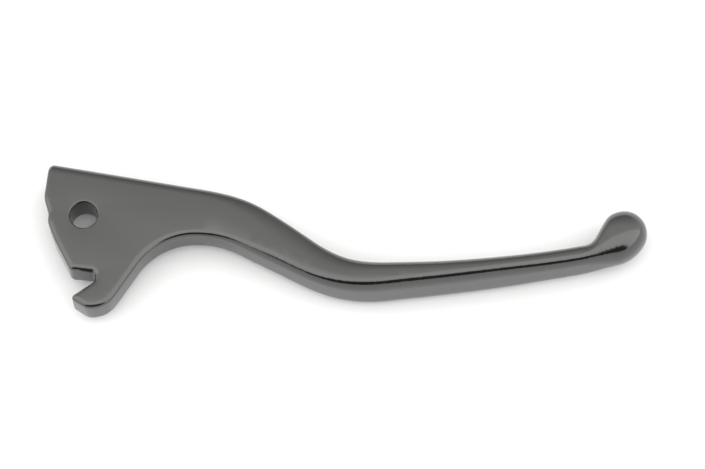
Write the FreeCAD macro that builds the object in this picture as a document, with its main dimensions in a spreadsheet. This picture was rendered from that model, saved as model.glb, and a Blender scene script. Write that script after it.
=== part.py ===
import FreeCAD, Part
import Sketcher
import math
import os

# Front brake lever blade, in millimetres.
# Origin: on the pivot axis, at mid thickness. +Z runs along the pivot axis.
# +X runs from the pivot to the centre of the ball end.
# +Y points away from the handlebar, towards the fingers, and -Y towards the bar.

V = FreeCAD.Vector

# Driving dimensions. An outline corner has a place (x, y) and, if it is rounded, a radius (r).
SIZES = {
    # pivot and head plate
    "head_thickness": 10.0,
    "pivot_diameter": 8.0,
    "pivot_rim": 0.5,
    "finger_rounding": 3.4,
    "nose_rounding": 1.6,
    "edge_rounding": 1.6,
    # head outline, from the finger edge round the nose to the hook
    "crown_x": -10.9, "crown_y": 16.35,
    "nose_x": -11.75, "nose_y": 5.3, "nose_r": 7.0,
    "step_x": -10.2, "step_y": 0.8, "step_r": 2.0,
    "chin_x": -10.2, "chin_y": -2.1, "chin_r": 4.0,
    "cheek_x": -7.9, "cheek_y": -7.6, "cheek_r": 20.0,
    "jaw_x": -3.0, "jaw_y": -16.5,
    "notch_top_x": 4.1, "notch_top_y": -17.15, "notch_top_r": 1.0,
    "notch_low_x": 4.1, "notch_low_y": -19.9, "notch_low_r": 1.5,
    "hook_tip_x": -2.7, "hook_tip_y": -24.9, "hook_tip_r": 1.0,
    "hook_base_x": 2.3, "hook_base_y": -27.95, "hook_base_r": 3.0,
    "heel_x": 7.75, "heel_y": -27.95, "heel_r": 8.0,
    "throat_x": 21.8, "throat_y": -4.8, "throat_r": 19.3,
    # edge of the blade on the handlebar's side
    "arch_x": 39.1, "arch_y": -5.35, "arch_r": 24.0,
    "belly_x": 74.1, "belly_y": -22.25, "belly_r": 40.0,
    "palm_x": 122.4, "palm_y": -15.4, "palm_r": 700.0,
    "roll_x": 151.0, "roll_y": -9.2, "roll_r": 12.0,
    # edge of the blade on the fingers' side
    "shoulder_x": 44.7, "shoulder_y": 7.95, "shoulder_r": 45.0,
    "dip_x": 75.0, "dip_y": -12.2, "dip_r": 27.5,
    "grip_x": 111.5, "grip_y": -11.78, "grip_r": 290.0,
    "neck_x": 144.65, "neck_y": -4.6, "neck_r": 4.5,
    # ball end
    "ball_x": 154.25,
    "ball_radius": 6.5,
    "ball_height": 15.4,
    # section of the blade at four stations between the head and the ball
    "shank_station": 56.0, "shank_height": 13.0,
    "shank_bar_depth": 2.5, "shank_bar_drop": 3.8,
    "shank_finger_depth": 7.0, "shank_finger_drop": 2.8,
    "belly_station": 88.0, "belly_height": 16.1,
    "belly_bar_depth": 2.6, "belly_bar_drop": 5.0,
    "belly_finger_depth": 3.7, "belly_finger_drop": 4.4,
    "mid_station": 112.0, "mid_height": 15.9,
    "mid_bar_depth": 2.5, "mid_bar_drop": 4.8,
    "mid_finger_depth": 3.4, "mid_finger_drop": 4.6,
    "end_station": 141.0, "end_height": 13.6,
    "end_bar_depth": 2.3, "end_bar_drop": 4.0,
    "end_finger_depth": 3.0, "end_finger_drop": 4.2,
}

HEAD_CORNERS = ["crown", "nose", "step", "chin", "cheek", "jaw", "notch_top",
                "notch_low", "hook_tip", "hook_base", "heel", "throat"]
SHARP_CORNERS = ["crown", "jaw"]
BAR_CORNERS = ["throat", "arch", "belly", "palm"]
FINGER_CORNERS = ["shoulder", "dip", "grip", "neck"]

STATIONS = ["shank", "belly", "mid", "end"]
SECTION_KEYS = ["height", "bar_depth", "bar_drop", "finger_depth", "finger_drop"]

# How closely sections stand along the blade and round the ball.
SECTION_STEP = 7.0
NECK_SHARES = [0.2, 0.4, 0.6, 0.8]
BALL_ANGLES = [-68.0, -52.0, -36.0, -20.0, -5.0, 12.0, 28.0, 43.0, 57.0, 69.0, 79.0]

MARKS = 12                          # corner points in one section
BAR_MARKS = (0, 1, 2, 9, 10, 11)    # those on the handlebar's side
FLAT_SHARE = 0.03                   # least part of a section's side that stays flat
TOUCH = 1e-4                        # a step for slopes, and a gap that counts as none
NEAR = 0.01                         # how far a point may lie from a plane or line that it is on


def make_sheet(doc):
    sheet = doc.addObject("Spreadsheet::Sheet", "Sizes")
    for row, (alias, value) in enumerate(SIZES.items(), start=1):
        set_cell(sheet, row, alias, value)
    doc.recompute()
    return sheet


def set_cell(sheet, row, alias, value):
    sheet.set("A%d" % row, alias)
    sheet.set("B%d" % row, "%.6f" % value)
    sheet.setAlias("B%d" % row, alias)


def size(sheet, alias):
    return float(sheet.get(alias))


# ---------------------------------------------------------------- plan outline

def corner(sheet, name):
    return V(size(sheet, name + "_x"), size(sheet, name + "_y"), 0)


def rounded(before, at, after, radius):
    """Start, end and centre of the arc of this radius in the corner before-at-after."""
    back = (before - at).normalize()
    ahead = (after - at).normalize()
    half = back.getAngle(ahead) / 2
    start = at + back * (radius / math.tan(half))
    end = at + ahead * (radius / math.tan(half))
    centre = at + (back + ahead).normalize() * (radius / math.sin(half))
    return start, end, centre


def chain(sheet, names, first, last):
    """Straight runs and arcs from first to last, rounding the named corners.

    Each piece is (start, end, centre, radius), with no centre on a straight run."""
    points = [first] + [corner(sheet, name) for name in names] + [last]
    pieces = []
    here = first
    for index, name in enumerate(names, start=1):
        radius = size(sheet, name + "_r")
        start, end, centre = rounded(points[index - 1], points[index], points[index + 1], radius)
        pieces.append((here, start, None, 0))
        pieces.append((start, end, centre, radius))
        here = end
    pieces.append((here, last, None, 0))
    return pieces


def height_at(pieces, x):
    """The y of a chain that runs towards +X, at this x."""
    for start, end, centre, radius in pieces:
        if start.x - TOUCH <= x <= end.x + TOUCH:
            if centre is None:
                return start.y + (end.y - start.y) * (x - start.x) / (end.x - start.x)
            rise = math.sqrt(max(radius ** 2 - (x - centre.x) ** 2, 0))
            return centre.y + math.copysign(rise, (start + end).y / 2 - centre.y)
    raise ValueError("no outline at x = %.2f" % x)


def ball_centre(sheet):
    return V(size(sheet, "ball_x"), 0, 0)


def finger_edge(sheet):
    """From the crown, along the finger side, to where the neck touches the ball."""
    centre = ball_centre(sheet)
    radius = size(sheet, "ball_radius")
    away = corner(sheet, "neck") - centre
    turn = math.atan2(away.y, away.x) - math.acos(radius / away.Length)
    contact = centre + V(radius * math.cos(turn), radius * math.sin(turn), 0)
    return chain(sheet, FINGER_CORNERS, corner(sheet, "crown"), contact)


def bar_edge(sheet):
    """From the heel, along the handlebar side, to where the edge rolls into the ball."""
    centre = ball_centre(sheet)
    radius = size(sheet, "roll_r")
    palm = corner(sheet, "palm")
    along = (corner(sheet, "roll") - palm).normalize()
    across = V(-along.y, along.x, 0)
    reach = radius - size(sheet, "ball_radius")
    offset = radius - (centre - palm).dot(across)
    start = palm + along * ((centre - palm).dot(along) - math.sqrt(reach ** 2 - offset ** 2))
    middle = start + across * radius
    contact = middle + (centre - middle).normalize() * radius
    pieces = chain(sheet, BAR_CORNERS, corner(sheet, "heel"), start)
    return pieces + [(start, contact, middle, radius)]


def seam_place(sheet):
    """The head ends in the short straight run between the throat and the arch."""
    bar = bar_edge(sheet)
    throat_end = bar[1][1]
    arch_start = bar[3][0]
    return (throat_end.x + arch_start.x) / 2, arch_start.x


# ---------------------------------------------------------------- head plate

def origin_plane(body, role):
    for feature in body.Origin.OriginFeatures:
        if feature.Role == role:
            return feature


def new_sketch(body, name):
    sketch = body.newObject("Sketcher::SketchObject", name)
    sketch.AttachmentSupport = [(origin_plane(body, "XY_Plane"), "")]
    sketch.MapMode = "FlatFace"
    return sketch


def bind(sketch, alias, *rule):
    """Add a dimension to the sketch and tie it to the sheet's cell."""
    index = sketch.addConstraint(Sketcher.Constraint(*rule))
    sketch.setExpression("Constraints[%d]" % index, "Sizes." + alias)


def tie(sketch, *rule):
    sketch.addConstraint(Sketcher.Constraint(*rule))


def place_corner(sketch, sheet, name):
    """A construction point that stands where two straight runs would meet."""
    at = corner(sheet, name)
    point = sketch.addGeometry(Part.Point(at), True)
    bind(sketch, name + "_x", "DistanceX", -1, 1, point, 1, at.x)
    bind(sketch, name + "_y", "DistanceY", -1, 1, point, 1, at.y)
    return point


def joint(sketch, before, after, at, tangent):
    """Join two pieces of the outline at this point, smoothly or in a corner."""
    ends = [near_end(sketch, before, at), near_end(sketch, after, at)]
    kind = "Tangent" if tangent else "Coincident"
    tie(sketch, kind, before, ends[0], after, ends[1])


def near_end(sketch, geo, at):
    gaps = [sketch.getPoint(geo, end).distanceToPoint(at) for end in (1, 2)]
    return 1 if gaps[0] < gaps[1] else 2


def straight_run(sketch, points, start, end, names):
    """A straight piece of the outline, in line with two of its corner points."""
    run = sketch.addGeometry(Part.LineSegment(start, end), False)
    for name in names:
        tie(sketch, "PointOnObject", points[name], 1, run)
    return run


def head_outline(sheet, body):
    """The head in plan: straight runs between its corners, rounded except at crown and jaw."""
    sketch = new_sketch(body, "head_outline")
    names = HEAD_CORNERS + ["arch"]
    points = {name: place_corner(sketch, sheet, name) for name in names + ["shoulder"]}
    seam = size(sheet, "seam")
    top = V(seam, height_at(finger_edge(sheet), seam), 0)
    low = V(seam, height_at(bar_edge(sheet), seam), 0)
    here = corner(sheet, "crown")
    first = last = straight_run(sketch, points, top, here, ("shoulder", "crown"))
    smooth = False
    for before, name, after in zip(names, names[1:], names[2:]):
        at = corner(sheet, name)
        start = end = at
        if name not in SHARP_CORNERS:
            start, end, centre = rounded(corner(sheet, before), at, corner(sheet, after),
                                         size(sheet, name + "_r"))
        run = straight_run(sketch, points, here, start, (before, name))
        joint(sketch, last, run, here, smooth)
        last = run
        smooth = name not in SHARP_CORNERS
        if smooth:
            middle = centre + (at - centre).normalize() * (start - centre).Length
            arc = sketch.addGeometry(Part.Arc(start, middle, end), False)
            joint(sketch, run, arc, start, True)
            bind(sketch, name + "_r", "Radius", arc, (start - centre).Length)
            last = arc
        here = end
    run = straight_run(sketch, points, here, low, ("throat", "arch"))
    joint(sketch, last, run, here, True)
    cut = sketch.addGeometry(Part.LineSegment(low, top), False)
    joint(sketch, run, cut, low, False)
    joint(sketch, cut, first, top, False)
    tie(sketch, "Vertical", cut)
    bind(sketch, "seam", "DistanceX", -1, 1, cut, 1, seam)
    return sketch


def pick_edges(shape, test):
    """Names of the edges whose middle passes the test."""
    names = []
    for index, edge in enumerate(shape.Edges, start=1):
        middle = edge.valueAt((edge.FirstParameter + edge.LastParameter) / 2)
        if test(middle):
            names.append("Edge%d" % index)
    return names


def round_edges(doc, body, name, radius, test):
    """Round the edges that pass the test, with a radius from the sheet."""
    base = body.Tip
    fillet = body.newObject("PartDesign::Fillet", name)
    fillet.Base = (base, pick_edges(base.Shape, test))
    fillet.setExpression("Radius", "Sizes." + radius)
    body.Tip = fillet
    doc.recompute()
    return fillet


def on_line(point, start, end):
    along = (end - start).normalize()
    away = V(point.x, point.y, 0) - start
    return abs(away.x * along.y - away.y * along.x) < NEAR


def make_head(doc, sheet):
    body = doc.addObject("PartDesign::Body", "head")
    outline = head_outline(sheet, body)
    doc.recompute()
    plate = body.newObject("PartDesign::Pad", "plate")
    plate.Profile = outline
    plate.setExpression("Length", "Sizes.head_thickness")
    plate.Midplane = True
    doc.recompute()
    half = size(sheet, "head_thickness") / 2
    seam = size(sheet, "seam")
    crown = corner(sheet, "crown")
    shoulder = corner(sheet, "shoulder")
    jaw = corner(sheet, "jaw")
    throat = corner(sheet, "throat")

    def lies_flat(point):
        return abs(abs(point.z) - half) < NEAR

    def on_fingers(point):
        return lies_flat(point) and on_line(point, crown, shoulder)

    def on_nose(point):
        upright = abs(point.z) < half - NEAR
        beside = point.x < jaw.x and point.y > jaw.y
        return beside and (upright or not on_line(point, crown, shoulder))

    def on_bar(point):
        below_notch = point.y < corner(sheet, "notch_top").y - NEAR
        below_throat = point.x > throat.x and point.y < throat.y
        return lies_flat(point) and point.x < seam - NEAR and (below_notch or below_throat)

    round_edges(doc, body, "finger_round", "finger_rounding", on_fingers)
    round_edges(doc, body, "nose_round", "nose_rounding", on_nose)
    round_edges(doc, body, "bar_round", "edge_rounding", on_bar)
    drill_pivot(doc, sheet, body)
    return body


def drill_pivot(doc, sheet, body):
    sketch = new_sketch(body, "pivot_circle")
    radius = size(sheet, "pivot_diameter") / 2
    circle = sketch.addGeometry(Part.Circle(V(0, 0, 0), V(0, 0, 1), radius), False)
    tie(sketch, "Coincident", circle, 3, -1, 1)
    bind(sketch, "pivot_diameter", "Diameter", circle, 2 * radius)
    doc.recompute()
    bore = body.newObject("PartDesign::Pocket", "pivot_bore")
    bore.Profile = sketch
    bore.Type = "ThroughAll"
    bore.Midplane = True
    doc.recompute()

    def on_rim(point):
        return abs(V(point.x, point.y, 0).Length - radius) < NEAR and abs(point.z) > NEAR

    round_edges(doc, body, "pivot_rims", "pivot_rim", on_rim)


# ---------------------------------------------------------------- blade

def ease(share):
    """A smooth step from 0 to 1, level at both ends."""
    return share * share * (3 - 2 * share)


def slope_at(pieces, x):
    return (height_at(pieces, x + TOUCH) - height_at(pieces, x - TOUCH)) / (2 * TOUCH)


def head_section(sheet):
    """The head's own section at the seam. A rounding is longer there across a slanting edge."""
    seam = size(sheet, "seam")
    rows = []
    for name, pieces in (("edge_rounding", bar_edge(sheet)), ("finger_rounding", finger_edge(sheet))):
        radius = size(sheet, name)
        rows += [radius * math.hypot(1, slope_at(pieces, seam)), radius]
    return [size(sheet, "head_thickness")] + rows


def ball_section(sheet):
    radius = size(sheet, "ball_radius")
    height = size(sheet, "ball_height")
    return [height, radius, height / 2, radius, height / 2]


def section_sizes(sheet, x):
    """Height, and the depth and drop of the rounded shoulders, in the order of SECTION_KEYS."""
    ball = ball_section(sheet)
    past = x - size(sheet, "ball_x")
    if past >= 0:
        fall = math.sqrt(max(1 - (past / size(sheet, "ball_radius")) ** 2, 0))
        return [value * fall for value in ball]
    stations = [(size(sheet, "arch_start"), head_section(sheet))]
    for name in STATIONS:
        values = [size(sheet, "%s_%s" % (name, key)) for key in SECTION_KEYS]
        stations.append((size(sheet, name + "_station"), values))
    stations.append((size(sheet, "ball_x"), ball))
    for (here, low), (there, high) in zip(stations, stations[1:]):
        if x <= there:
            share = ease(max(x - here, 0) / (there - here))
            return [a + (b - a) * share for a, b in zip(low, high)]


def section_marks(sheet, x, top, low):
    """Twelve points that frame the blade's section across X, round from the bar side.

    A flat run joins two marks, and a rounded shoulder is a quarter ellipse from one mark
    to the next but one, turning at the mark between them."""
    height, bar_depth, bar_drop, finger_depth, finger_drop = section_sizes(sheet, x)
    half = height / 2
    room = min((top - low) * (1 - FLAT_SHARE) / (bar_depth + finger_depth), 1)
    bar_depth = bar_depth * room
    finger_depth = finger_depth * room
    bar_drop = min(bar_drop, half * (1 - FLAT_SHARE))
    finger_drop = min(finger_drop, half * (1 - FLAT_SHARE))
    upper = [(low, half - bar_drop), (low, half), (low + bar_depth, half),
             (top - finger_depth, half), (top, half), (top, half - finger_drop)]
    marks = [V(x, y, z) for y, z in upper]
    return marks + [V(mark.x, mark.y, -mark.z) for mark in reversed(marks)]


def blade_places(sheet):
    """Where the sections stand: at the seam, along the blade, and closer round the ball."""
    start = size(sheet, "arch_start")
    centre = size(sheet, "ball_x")
    radius = size(sheet, "ball_radius")
    neck = corner(sheet, "neck").x - size(sheet, "neck_r")
    count = max(int((neck - start) / SECTION_STEP), len(STATIONS))
    places = [size(sheet, "seam")]
    places += [start + (neck - start) * i / count for i in range(count + 1)]
    around = [centre + radius * math.sin(math.radians(angle)) for angle in BALL_ANGLES]
    places += [neck + (around[0] - neck) * share for share in NECK_SHARES]
    return places + around


def edge_or_ball(sheet, pieces, x, side):
    """The outline's y at x. Past the end of the edge that is the ball, on this side of it."""
    if x <= pieces[-1][1].x:
        return height_at(pieces, x)
    reach = size(sheet, "ball_radius") ** 2 - (x - size(sheet, "ball_x")) ** 2
    return side * math.sqrt(max(reach, 0))


def blade_sections(sheet):
    """The marks of every section, down to the ball's tip, where all of them meet."""
    fingers = finger_edge(sheet)
    bar = bar_edge(sheet)
    sections = []
    for x in blade_places(sheet):
        top = edge_or_ball(sheet, fingers, x, 1)
        low = edge_or_ball(sheet, bar, x, -1)
        sections.append(section_marks(sheet, x, top, low))
    tip = ball_centre(sheet) + V(size(sheet, "ball_radius"), 0, 0)
    return sections + [[tip] * MARKS]


def spacing(sections):
    """One parameter for each section, spaced as the sections are along the blade."""
    middles = [(marks[1] + marks[4]) * 0.5 for marks in sections]
    params = [0.0]
    for before, after in zip(middles, middles[1:]):
        params.append(params[-1] + (after - before).Length)
    return params


def blade_rails(sheet, sections):
    """A smooth curve through each mark, which leaves the seam as the head's edge does."""
    seam = size(sheet, "seam")
    bar_way = V(1, slope_at(bar_edge(sheet), seam), 0)
    finger_way = V(1, slope_at(finger_edge(sheet), seam), 0)
    params = spacing(sections)
    rails = []
    for index in range(MARKS):
        marks = [section[index] for section in sections]
        last = marks[-2]
        rail = Part.BSplineCurve()
        rail.interpolate(Points=marks, Parameters=params, Scale=False,
                         InitialTangent=bar_way if index in BAR_MARKS else finger_way,
                         FinalTangent=V(0, -last.y, -last.z).normalize())
        rails.append(rail)
    return rails


def skin(rails, weights):
    """The face spanned by two rails, or rounded over by three."""
    count = len(rails)
    face = Part.BSplineSurface()
    face.buildFromPolesMultsKnots(
        [curve.getPoles() for curve in rails], [count, count], rails[0].getMultiplicities(),
        [0.0, 1.0], rails[0].getKnots(), False, False, count - 1, rails[0].Degree,
        [[weight] * rails[0].NbPoles for weight in weights])
    return face.toShape()


def seam_cap(faces, seam):
    """The flat face that closes the blade where it meets the head."""
    rim = [edge for face in faces for edge in face.Edges if edge.BoundBox.XMax < seam + TOUCH]
    return Part.Face(Part.Wire(Part.sortEdges(rim)[0]))


def make_blade(doc, sheet):
    rails = blade_rails(sheet, blade_sections(sheet))
    round_over = (1.0, math.sqrt(0.5), 1.0)
    flat = (1.0, 1.0)
    faces = []
    for first in range(0, MARKS, 3):
        faces.append(skin(rails[first:first + 3], round_over))
        faces.append(skin([rails[first + 2], rails[(first + 3) % MARKS]], flat))
    faces.append(seam_cap(faces, size(sheet, "seam")))
    shell = Part.makeShell(faces)
    shell.sewShape()
    solid = Part.makeSolid(shell)
    if solid.Volume < 0:
        solid.reverse()
    blade = doc.addObject("Part::Feature", "blade")
    blade.Shape = solid
    return blade


# ---------------------------------------------------------------- the lever

def check(doc):
    for item in doc.Objects:
        if "Invalid" in item.State or "Error" in item.State:
            raise RuntimeError("%s did not build: %s" % (item.Name, item.State))


def main():
    doc = FreeCAD.newDocument("brake_lever")
    sheet = make_sheet(doc)
    seam, start = seam_place(sheet)
    set_cell(sheet, len(SIZES) + 1, "seam", seam)
    set_cell(sheet, len(SIZES) + 2, "arch_start", start)
    doc.recompute()
    head = make_head(doc, sheet)
    blade = make_blade(doc, sheet)
    lever = doc.addObject("Part::Fuse", "lever")
    lever.Base = head
    lever.Tool = blade
    lever.Label = "lever_blade"
    doc.recompute()
    check(doc)
    shape = lever.Shape
    if shape.isNull() or not shape.isValid() or len(shape.Solids) != 1:
        raise RuntimeError("lever_blade is not one valid solid")
    os.makedirs("parts", exist_ok=True)
    shape.exportStep("parts/%s.step" % lever.Label)
    box = shape.BoundBox
    print("lever_blade: %.1f x %.1f x %.1f mm, %.0f mm3, %d faces"
          % (box.XLength, box.YLength, box.ZLength, shape.Volume, len(shape.Faces)))


main()
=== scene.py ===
# %% [markdown]
# # A brake lever blade, finished for a picture
# The shape comes from the CAD model, and this lesson gives it a coat, a camera and a studio.
# Everything is in metres and in the CAD model's own frame: the pivot's axis is the Z axis,
# the blade runs along +X, and the handlebar would be on the -Y side.

# %% Load the CAD model
import math

import bmesh
import bpy
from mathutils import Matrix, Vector


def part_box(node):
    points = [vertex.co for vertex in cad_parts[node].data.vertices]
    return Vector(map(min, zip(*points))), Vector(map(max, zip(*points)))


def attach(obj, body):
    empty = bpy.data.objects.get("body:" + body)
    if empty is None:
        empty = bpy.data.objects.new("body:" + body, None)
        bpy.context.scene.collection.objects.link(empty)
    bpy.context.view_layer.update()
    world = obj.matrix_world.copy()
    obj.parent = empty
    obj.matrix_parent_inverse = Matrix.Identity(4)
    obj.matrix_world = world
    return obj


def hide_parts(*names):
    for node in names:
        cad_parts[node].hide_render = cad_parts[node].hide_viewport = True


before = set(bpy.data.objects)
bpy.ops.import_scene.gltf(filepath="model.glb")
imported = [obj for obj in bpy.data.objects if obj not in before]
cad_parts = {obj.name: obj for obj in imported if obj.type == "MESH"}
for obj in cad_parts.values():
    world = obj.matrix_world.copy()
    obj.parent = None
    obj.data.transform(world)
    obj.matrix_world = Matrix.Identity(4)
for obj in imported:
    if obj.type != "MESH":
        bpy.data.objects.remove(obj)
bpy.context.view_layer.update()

BLADE = "lever_blade"
low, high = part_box(BLADE)
print("the blade reaches from", tuple(low), "to", tuple(high))


# %% [markdown]
# ## Shader maths written as sums
# A pattern is mostly arithmetic on numbers that change over the surface. Wiring Math nodes
# by hand is slow to read, so a small class stands for one socket, and each operator on it
# adds its own Math node. The reflected forms let a plain number come first, as in 1 - mask.

# %% A socket that can be added, multiplied and compared
class Wire:
    def __init__(self, recipe, socket):
        self.recipe = recipe
        self.socket = socket

    def math(self, operation, *values):
        return self.recipe.node("ShaderNodeMath", {"operation": operation},
                                dict(enumerate(values)), "Value")

    def __add__(self, other):
        return self.math("ADD", self, other)

    def __mul__(self, other):
        return self.math("MULTIPLY", self, other)

    def __sub__(self, other):
        return self.math("SUBTRACT", self, other)

    def __rsub__(self, other):
        return self.math("SUBTRACT", other, self)

    __radd__ = __add__
    __rmul__ = __mul__


# %% [markdown]
# ## One way to add any other node
# Every other node needs the same three things: its type, its settings, and what goes into
# its sockets. One method does that, so a finish reads as a list of named steps.

# %% A recipe for one tree of nodes
class Recipe:
    def __init__(self, tree):
        self.tree = tree

    def node(self, kind, settings, inputs, output):
        made = self.tree.nodes.new(kind)
        for key, value in settings.items():
            if key == "stops":
                self.set_stops(made.color_ramp, value)
            else:
                setattr(made, key, value)
        for key, value in inputs.items():
            if isinstance(value, Wire):
                self.tree.links.new(value.socket, made.inputs[key])
            else:
                made.inputs[key].default_value = value
        return Wire(self, made.outputs[output])

    def set_stops(self, ramp, stops):
        while len(ramp.elements) > 1:
            ramp.elements.remove(ramp.elements[-1])
        ramp.elements[0].position = stops[0][0]
        ramp.elements[0].color = stops[0][1]
        for place, colour in stops[1:]:
            ramp.elements.new(place).color = colour

    def finish(self, kind, shader):
        out = self.tree.nodes.new(kind)
        self.tree.links.new(shader.socket, out.inputs["Surface"])


def empty_tree(owner):
    owner.use_nodes = True
    owner.node_tree.nodes.clear()
    return Recipe(owner.node_tree)


# %% [markdown]
# ## The coat
# The blade is cast aluminium under a dark, glossy coat. Such a coat is never quite flat: it
# has a fine ripple like orange peel, about a millimetre across, and it follows the slow
# waves of the casting. Two noises of different sizes make that as bump. The gloss and the
# colour also change a little from place to place, because the coat is thicker in one spot
# than in another. The blade is new, so its edges are not worn. All patterns read Object
# coordinates, so they stay on the metal.

# %% Patterns of the coat
coat_material = bpy.data.materials.new("gloss_dark_coat")
coat = empty_tree(coat_material)
place = coat.node("ShaderNodeTexCoord", {}, {}, "Object")

PEEL_SCALE = 900.0
WAVE_SCALE = 90.0
CLOUD_SCALE = 28.0


def noise(recipe, where, scale, detail, roughness=0.5):
    return recipe.node("ShaderNodeTexNoise", {},
                       {"Vector": where, "Scale": scale, "Detail": detail,
                        "Roughness": roughness}, "Fac")


peel = noise(coat, place, PEEL_SCALE, 2.0)
wave = noise(coat, place, WAVE_SCALE, 2.0)
cloud = noise(coat, place, CLOUD_SCALE, 4.0, 0.6)
print("coat patterns ready")

# %% Colour, gloss and ripple of the coat
COAT_DARK = (0.0040, 0.0040, 0.0040, 1.0)
COAT_LIGHT = (0.0080, 0.0080, 0.0078, 1.0)
GLOSS_EVEN = 0.13
GLOSS_SPREAD = 0.05

colour = coat.node("ShaderNodeValToRGB", {"stops": [(0.3, COAT_DARK), (0.7, COAT_LIGHT)]},
                   {"Fac": cloud * 0.7 + peel * 0.3}, "Color")
gloss = GLOSS_EVEN + (cloud - 0.5) * GLOSS_SPREAD + (peel - 0.5) * GLOSS_SPREAD
ripple = coat.node("ShaderNodeBump", {}, {"Strength": 0.12, "Distance": 0.00002,
                                          "Height": peel}, "Normal")
surface = coat.node("ShaderNodeBump", {}, {"Strength": 0.45, "Distance": 0.00006,
                                           "Height": wave, "Normal": ripple}, "Normal")
shader = coat.node("ShaderNodeBsdfPrincipled", {},
                   {"Base Color": colour, "Roughness": gloss, "IOR": 1.8,
                    "Normal": surface}, "BSDF")
coat.finish("ShaderNodeOutputMaterial", shader)
print("the coat has", len(coat.tree.nodes), "nodes")


# %% [markdown]
# ## The blade
# The CAD mesh is already the right shape, with every rounding modelled. It arrives as loose
# triangles, so a copy is merged, its smooth faces are shaded smooth and its true corners
# stay sharp. The copy stands for the CAD node, which stays underneath for collision.

# %% The blade's finished surface
WELD = 1e-6
CORNER_ANGLE = math.radians(32)


def merged_copy(node, name):
    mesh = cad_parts[node].data.copy()
    mesh.name = name
    shape = bmesh.new()
    shape.from_mesh(mesh)
    bmesh.ops.remove_doubles(shape, verts=shape.verts, dist=WELD)
    for face in shape.faces:
        face.smooth = True
    for edge in shape.edges:
        edge.smooth = edge.is_manifold and edge.calc_face_angle(0) < CORNER_ANGLE
    shape.to_mesh(mesh)
    shape.free()
    if "custom_normal" in mesh.attributes:
        mesh.attributes.remove(mesh.attributes["custom_normal"])
    piece = bpy.data.objects.new(name, mesh)
    bpy.context.scene.collection.objects.link(piece)
    return piece


blade = merged_copy(BLADE, "coated_blade")
blade.data.materials.clear()
blade.data.materials.append(coat_material)
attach(blade, "root")
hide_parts(BLADE)
print("blade faces:", len(blade.data.polygons))


# %% [markdown]
# ## The floor
# A plain pale floor carries the blade at its lowest point. It is wide, so that its edge is
# never in view, and matt, so that only the blade shines.

# %% Pale floor
FLOOR_SIDE = 12.0
FLOOR_COLOUR = (0.70, 0.695, 0.72, 1.0)
paper_material = bpy.data.materials.new("pale_floor")
paper = empty_tree(paper_material)
paper.finish("ShaderNodeOutputMaterial",
             paper.node("ShaderNodeBsdfDiffuse", {}, {"Color": FLOOR_COLOUR}, "BSDF"))
floor_mesh = bpy.data.meshes.new("floor")
sheet = bmesh.new()
bmesh.ops.create_grid(sheet, x_segments=1, y_segments=1, size=FLOOR_SIDE / 2)
sheet.to_mesh(floor_mesh)
sheet.free()
floor_mesh.materials.append(paper_material)
floor = bpy.data.objects.new("floor", floor_mesh)
floor.location = (0, 0, low.z)
bpy.context.scene.collection.objects.link(floor)
print("floor at", low.z)


# %% [markdown]
# ## The studio
# A gloss coat shows its surroundings more than its own colour, so the studio is planned by
# what the blade should mirror. It is a light tent: a bright cloth overhead and at both
# sides, which grows dimmer down to the horizon behind the blade, and a dark opening in
# front where the camera stands. The opening makes the black line along the blade's
# upper edge, and the floor lights the wall below it. All of it depends on one thing, how
# far a direction points forwards or back, so a single ramp in the world draws the tent.

# %% Light tent
TENT_CEILING = 2.5
TENT_STOPS = [(-90, 0.010), (-52, 0.012), (-45, 0.92), (-30, 1.0), (9, 1.0), (16, 0.78),
              (21, 0.66), (26, 0.61), (41, 0.49), (61, 0.36), (81, 0.25), (90, 0.24)]
TENT_TINT = (1.0, 1.005, 0.965)

world = bpy.data.worlds.new("light_tent")
tent = empty_tree(world)
direction = tent.node("ShaderNodeTexCoord", {}, {}, "Generated")
forwards = tent.node("ShaderNodeSeparateXYZ", {}, {"Vector": direction}, "Y")
stops = []
for angle, level in TENT_STOPS:
    shade = tuple(level * part for part in TENT_TINT)
    stops.append((math.sin(math.radians(angle)) * 0.5 + 0.5, shade + (1.0,)))
cloth = tent.node("ShaderNodeValToRGB", {"stops": stops}, {"Fac": forwards * 0.5 + 0.5}, "Color")
glow = tent.node("ShaderNodeBackground", {},
                 {"Color": cloth, "Strength": TENT_CEILING}, "Background")
tent.finish("ShaderNodeOutputWorld", glow)
bpy.context.scene.world = world
print("tent ramp has", len(stops), "stops")


# %% [markdown]
# ## The camera
# A long lens from high in front keeps the blade nearly free of perspective. The camera
# is placed by its angles round a point on the blade's mid plane.

# %% Camera
ELEVATION = math.radians(68.5)
TURN = math.radians(1.542)
DISTANCE = 0.8951
LOOK_AT = Vector((0.07664, -0.00209, 0.0))

lens = bpy.data.cameras.new("camera")
lens.lens = 160.0
lens.sensor_width = 36.0
lens.clip_start = 0.01
camera = bpy.data.objects.new("camera", lens)
bpy.context.scene.collection.objects.link(camera)
back = Vector((math.cos(ELEVATION) * math.sin(TURN),
               -math.cos(ELEVATION) * math.cos(TURN), math.sin(ELEVATION)))
camera.location = LOOK_AT + back * DISTANCE
camera.rotation_euler = (math.pi / 2 - ELEVATION, 0, TURN)
bpy.context.scene.camera = camera
bpy.context.scene.view_settings.view_transform = "Standard"
print("camera at", tuple(camera.location))
